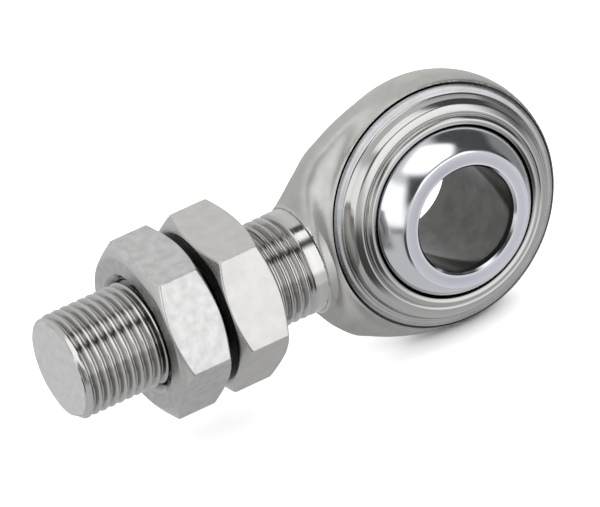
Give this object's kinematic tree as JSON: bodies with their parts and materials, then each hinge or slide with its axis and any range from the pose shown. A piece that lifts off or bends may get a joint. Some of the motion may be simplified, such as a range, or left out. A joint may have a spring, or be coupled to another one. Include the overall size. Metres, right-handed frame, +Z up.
{
  "type": "rod end bearing",
  "caption": "Male rod end: round eye holding a self-aligning ball bearing under pressed steel shields, on a threaded shank with thin hexagon jam nuts.",
  "frame": {"origin": "centre of the ball, on the bore's axis, midway between the inner ring's end faces", "axes": "-X along the threaded shank, Y along the axis of the housing's eye with the front at -Y, +Z up"},
  "size_m": [0.1025, 0.0338, 0.048],
  "materials": {
    "housing_steel": "satin machined and forged steel, lightly plated",
    "ring_chrome": "hardened, ground and polished ball with satin end faces",
    "shield_steel": "bright pressed sheet",
    "nut_steel": "mottled zinc-plated steel",
    "cage_steel": "pressed sheet, oiled",
    "ball_steel": "polished bearing steel"
  },
  "bodies": {
    "housing": {"rod_end_housing": "housing_steel", "shield_front": "shield_steel", "shield_rear": "shield_steel"},
    "swivel": {"ball_front_05": "ball_steel", "ball_front_13": "ball_steel"},
    "bearing": {"ball_cage": "cage_steel", "ball_front_01": "ball_steel", "ball_front_02": "ball_steel", "ball_front_03": "ball_steel", "ball_front_04": "ball_steel", "ball_front_06": "ball_steel", "ball_front_07": "ball_steel", "ball_front_08": "ball_steel", "ball_front_09": "ball_steel", "ball_front_10": "ball_steel", "ball_front_11": "ball_steel", "ball_front_12": "ball_steel", "ball_front_14": "ball_steel", "ball_front_15": "ball_steel", "ball_front_16": "ball_steel", "ball_rear_01": "ball_steel", "ball_rear_02": "ball_steel", "ball_rear_03": "ball_steel", "ball_rear_04": "ball_steel", "ball_rear_05": "ball_steel", "ball_rear_06": "ball_steel", "ball_rear_07": "ball_steel", "ball_rear_08": "ball_steel", "ball_rear_09": "ball_steel", "ball_rear_10": "ball_steel", "ball_rear_11": "ball_steel", "ball_rear_12": "ball_steel", "ball_rear_13": "ball_steel", "ball_rear_14": "ball_steel", "ball_rear_15": "ball_steel", "ball_rear_16": "ball_steel"},
    "ring": {"inner_ring": "ring_chrome"},
    "inner_nut": {"jam_nut_inner": "nut_steel"},
    "outer_nut": {"jam_nut_outer": "nut_steel"}
  },
  "joints": [
    {"name": "ring_tilt_x", "type": "hinge", "parent": "housing", "child": "swivel", "pos_m": [0, 0, 0], "axis": [1, 0, 0], "range_deg": [-9.17, 2.83]},
    {"name": "ring_tilt_z", "type": "hinge", "parent": "swivel", "child": "bearing", "pos_m": [0, 0, 0], "axis": [0, -0.0553, 0.9985], "range_deg": [-7.19, 4.81]},
    {"name": "ring_spin", "type": "hinge", "parent": "bearing", "child": "ring", "pos_m": [0, 0, 0], "axis": [-0.0208, 0.9983, 0.0553], "continuous": true},
    {"name": "inner_nut_travel", "type": "slide", "parent": "housing", "child": "inner_nut", "axis": [1, 0, 0], "range_m": [0, 0.00525]},
    {"name": "outer_nut_travel", "type": "slide", "parent": "housing", "child": "outer_nut", "axis": [-1, 0, 0], "range_m": [-0.0015, 0.014]}
  ]
}
